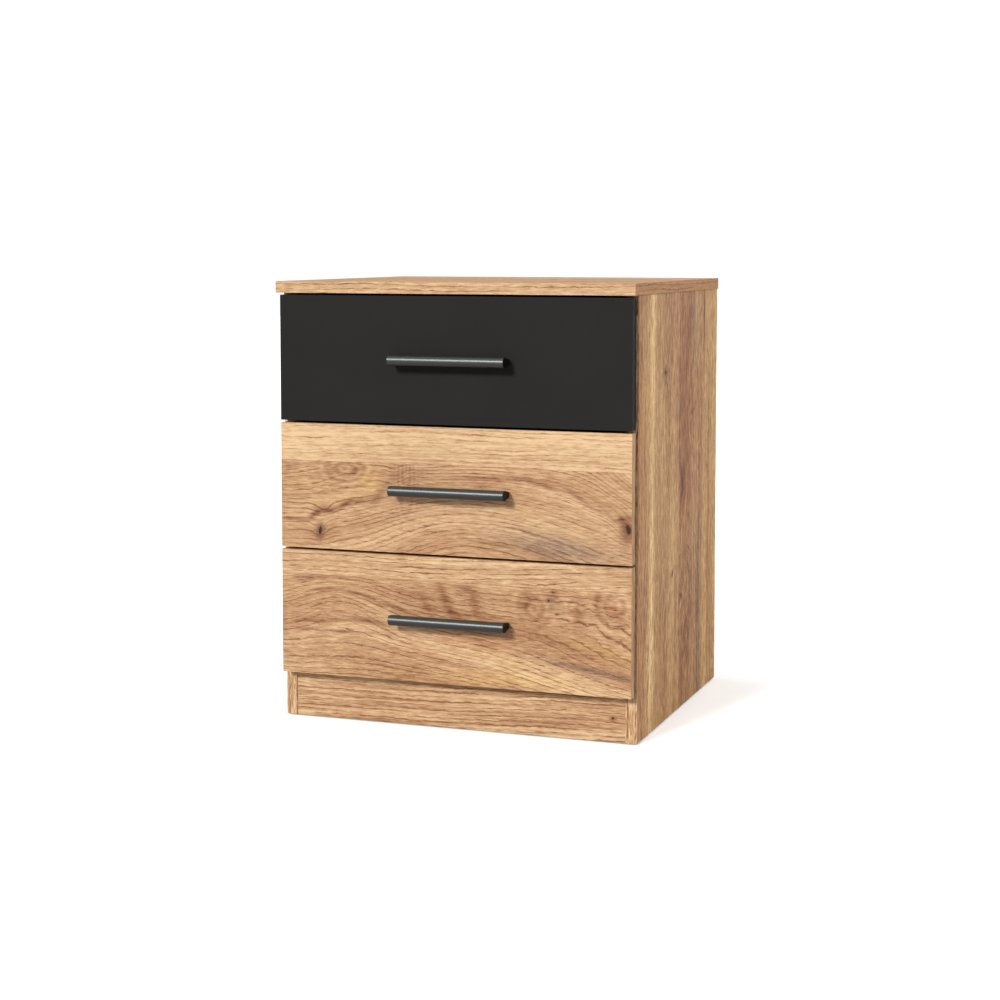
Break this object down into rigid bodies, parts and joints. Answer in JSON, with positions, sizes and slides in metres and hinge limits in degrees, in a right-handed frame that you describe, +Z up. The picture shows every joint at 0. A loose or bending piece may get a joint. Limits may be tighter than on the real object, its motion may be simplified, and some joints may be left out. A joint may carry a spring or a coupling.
{
  "type": "nightstand",
  "caption": "Bedside cabinet in oak decor with stacked drawers on roller runners, a dark top drawer front, a plinth and metal bow handles.",
  "frame": {"origin": "middle of the overall width and depth, handles included, on the floor", "axes": "+Z up, -Y out of the drawer fronts, +X to the right for someone facing the fronts"},
  "size_m": [0.52, 0.4818, 0.618],
  "materials": {
    "oak_decor": "oak decor foil with open grain, satin",
    "anthracite_decor": "matt anthracite melamine on chipboard",
    "drawer_melamine": "light grey melamine on chipboard",
    "hardboard": "thin hardboard, lacquered light on the inner face",
    "handle_metal": "dark grey metallic, satin",
    "runner_epoxy": "white epoxy coating on sheet steel",
    "roller_nylon": "natural nylon",
    "screw_zinc": "bright zinc plating",
    "glide_plastic": "brown polyethylene"
  },
  "bodies": {
    "cabinet": {"side_panel_left": "oak_decor", "side_panel_right": "oak_decor", "top_panel": "oak_decor", "bottom_panel": "oak_decor", "plinth_front": "oak_decor", "plinth_rear": "oak_decor", "back_panel": "hardboard", "glide_front_left": "glide_plastic", "glide_rear_left": "glide_plastic", "glide_front_right": "glide_plastic", "glide_rear_right": "glide_plastic", "bottom_cabinet_runner_left": "runner_epoxy", "bottom_cabinet_runner_right": "runner_epoxy", "middle_cabinet_runner_left": "runner_epoxy", "middle_cabinet_runner_right": "runner_epoxy", "top_cabinet_runner_left": "runner_epoxy", "top_cabinet_runner_right": "runner_epoxy"},
    "bottom_drawer": {"bottom_drawer_front": "oak_decor", "bottom_drawer_side_left": "drawer_melamine", "bottom_drawer_side_right": "drawer_melamine", "bottom_drawer_back": "drawer_melamine", "bottom_drawer_bottom": "hardboard", "bottom_handle": "handle_metal", "bottom_handle_screw_left": "screw_zinc", "bottom_handle_screw_right": "screw_zinc", "bottom_drawer_runner_left": "runner_epoxy", "bottom_drawer_runner_right": "runner_epoxy"},
    "middle_drawer": {"middle_drawer_front": "oak_decor", "middle_drawer_side_left": "drawer_melamine", "middle_drawer_side_right": "drawer_melamine", "middle_drawer_back": "drawer_melamine", "middle_drawer_bottom": "hardboard", "middle_handle": "handle_metal", "middle_handle_screw_left": "screw_zinc", "middle_handle_screw_right": "screw_zinc", "middle_drawer_runner_left": "runner_epoxy", "middle_drawer_runner_right": "runner_epoxy"},
    "top_drawer": {"top_drawer_front": "anthracite_decor", "top_drawer_side_left": "drawer_melamine", "top_drawer_side_right": "drawer_melamine", "top_drawer_back": "drawer_melamine", "top_drawer_bottom": "hardboard", "top_handle": "handle_metal", "top_handle_screw_left": "screw_zinc", "top_handle_screw_right": "screw_zinc", "top_drawer_runner_left": "runner_epoxy", "top_drawer_runner_right": "runner_epoxy"},
    "bottom_cabinet_roller_left": {"bottom_cabinet_roller_left": "roller_nylon"},
    "bottom_drawer_roller_left": {"bottom_drawer_roller_left": "roller_nylon"},
    "bottom_cabinet_roller_right": {"bottom_cabinet_roller_right": "roller_nylon"},
    "bottom_drawer_roller_right": {"bottom_drawer_roller_right": "roller_nylon"},
    "middle_cabinet_roller_left": {"middle_cabinet_roller_left": "roller_nylon"},
    "middle_drawer_roller_left": {"middle_drawer_roller_left": "roller_nylon"},
    "middle_cabinet_roller_right": {"middle_cabinet_roller_right": "roller_nylon"},
    "middle_drawer_roller_right": {"middle_drawer_roller_right": "roller_nylon"},
    "top_cabinet_roller_left": {"top_cabinet_roller_left": "roller_nylon"},
    "top_drawer_roller_left": {"top_drawer_roller_left": "roller_nylon"},
    "top_cabinet_roller_right": {"top_cabinet_roller_right": "roller_nylon"},
    "top_drawer_roller_right": {"top_drawer_roller_right": "roller_nylon"}
  },
  "joints": [
    {"name": "bottom_drawer_slide", "type": "slide", "parent": "cabinet", "child": "bottom_drawer", "axis": [0, -1, 0], "range_m": [0, 0.3]},
    {"name": "middle_drawer_slide", "type": "slide", "parent": "cabinet", "child": "middle_drawer", "axis": [0, -1, 0], "range_m": [0, 0.3]},
    {"name": "top_drawer_slide", "type": "slide", "parent": "cabinet", "child": "top_drawer", "axis": [0, -1, 0], "range_m": [0, 0.3]},
    {"name": "bottom_cabinet_roller_left_spin", "type": "hinge", "parent": "cabinet", "child": "bottom_cabinet_roller_left", "pos_m": [-0.23705, -0.17415, 0.107], "axis": [1, 0, 0], "continuous": true},
    {"name": "bottom_drawer_roller_left_spin", "type": "hinge", "parent": "bottom_drawer", "child": "bottom_drawer_roller_left", "pos_m": [-0.23705, 0.19045, 0.106], "axis": [1, 0, 0], "continuous": true},
    {"name": "bottom_cabinet_roller_right_spin", "type": "hinge", "parent": "cabinet", "child": "bottom_cabinet_roller_right", "pos_m": [0.23705, -0.17415, 0.107], "axis": [1, 0, 0], "continuous": true},
    {"name": "bottom_drawer_roller_right_spin", "type": "hinge", "parent": "bottom_drawer", "child": "bottom_drawer_roller_right", "pos_m": [0.23705, 0.19045, 0.106], "axis": [1, 0, 0], "continuous": true},
    {"name": "middle_cabinet_roller_left_spin", "type": "hinge", "parent": "cabinet", "child": "middle_cabinet_roller_left", "pos_m": [-0.23705, -0.17415, 0.2855], "axis": [1, 0, 0], "continuous": true},
    {"name": "middle_drawer_roller_left_spin", "type": "hinge", "parent": "middle_drawer", "child": "middle_drawer_roller_left", "pos_m": [-0.23705, 0.19045, 0.2845], "axis": [1, 0, 0], "continuous": true},
    {"name": "middle_cabinet_roller_right_spin", "type": "hinge", "parent": "cabinet", "child": "middle_cabinet_roller_right", "pos_m": [0.23705, -0.17415, 0.2855], "axis": [1, 0, 0], "continuous": true},
    {"name": "middle_drawer_roller_right_spin", "type": "hinge", "parent": "middle_drawer", "child": "middle_drawer_roller_right", "pos_m": [0.23705, 0.19045, 0.2845], "axis": [1, 0, 0], "continuous": true},
    {"name": "top_cabinet_roller_left_spin", "type": "hinge", "parent": "cabinet", "child": "top_cabinet_roller_left", "pos_m": [-0.23705, -0.17415, 0.464], "axis": [1, 0, 0], "continuous": true},
    {"name": "top_drawer_roller_left_spin", "type": "hinge", "parent": "top_drawer", "child": "top_drawer_roller_left", "pos_m": [-0.23705, 0.19045, 0.463], "axis": [1, 0, 0], "continuous": true},
    {"name": "top_cabinet_roller_right_spin", "type": "hinge", "parent": "cabinet", "child": "top_cabinet_roller_right", "pos_m": [0.23705, -0.17415, 0.464], "axis": [1, 0, 0], "continuous": true},
    {"name": "top_drawer_roller_right_spin", "type": "hinge", "parent": "top_drawer", "child": "top_drawer_roller_right", "pos_m": [0.23705, 0.19045, 0.463], "axis": [1, 0, 0], "continuous": true}
  ],
  "couplings": [
    {"joint": "bottom_cabinet_roller_left_spin", "follows": "bottom_drawer_slide", "rad_per_m": 100},
    {"joint": "bottom_drawer_roller_left_spin", "follows": "bottom_drawer_slide", "rad_per_m": 100},
    {"joint": "bottom_cabinet_roller_right_spin", "follows": "bottom_drawer_slide", "rad_per_m": 100},
    {"joint": "bottom_drawer_roller_right_spin", "follows": "bottom_drawer_slide", "rad_per_m": 100},
    {"joint": "middle_cabinet_roller_left_spin", "follows": "middle_drawer_slide", "rad_per_m": 100},
    {"joint": "middle_drawer_roller_left_spin", "follows": "middle_drawer_slide", "rad_per_m": 100},
    {"joint": "middle_cabinet_roller_right_spin", "follows": "middle_drawer_slide", "rad_per_m": 100},
    {"joint": "middle_drawer_roller_right_spin", "follows": "middle_drawer_slide", "rad_per_m": 100},
    {"joint": "top_cabinet_roller_left_spin", "follows": "top_drawer_slide", "rad_per_m": 100},
    {"joint": "top_drawer_roller_left_spin", "follows": "top_drawer_slide", "rad_per_m": 100},
    {"joint": "top_cabinet_roller_right_spin", "follows": "top_drawer_slide", "rad_per_m": 100},
    {"joint": "top_drawer_roller_right_spin", "follows": "top_drawer_slide", "rad_per_m": 100}
  ]
}
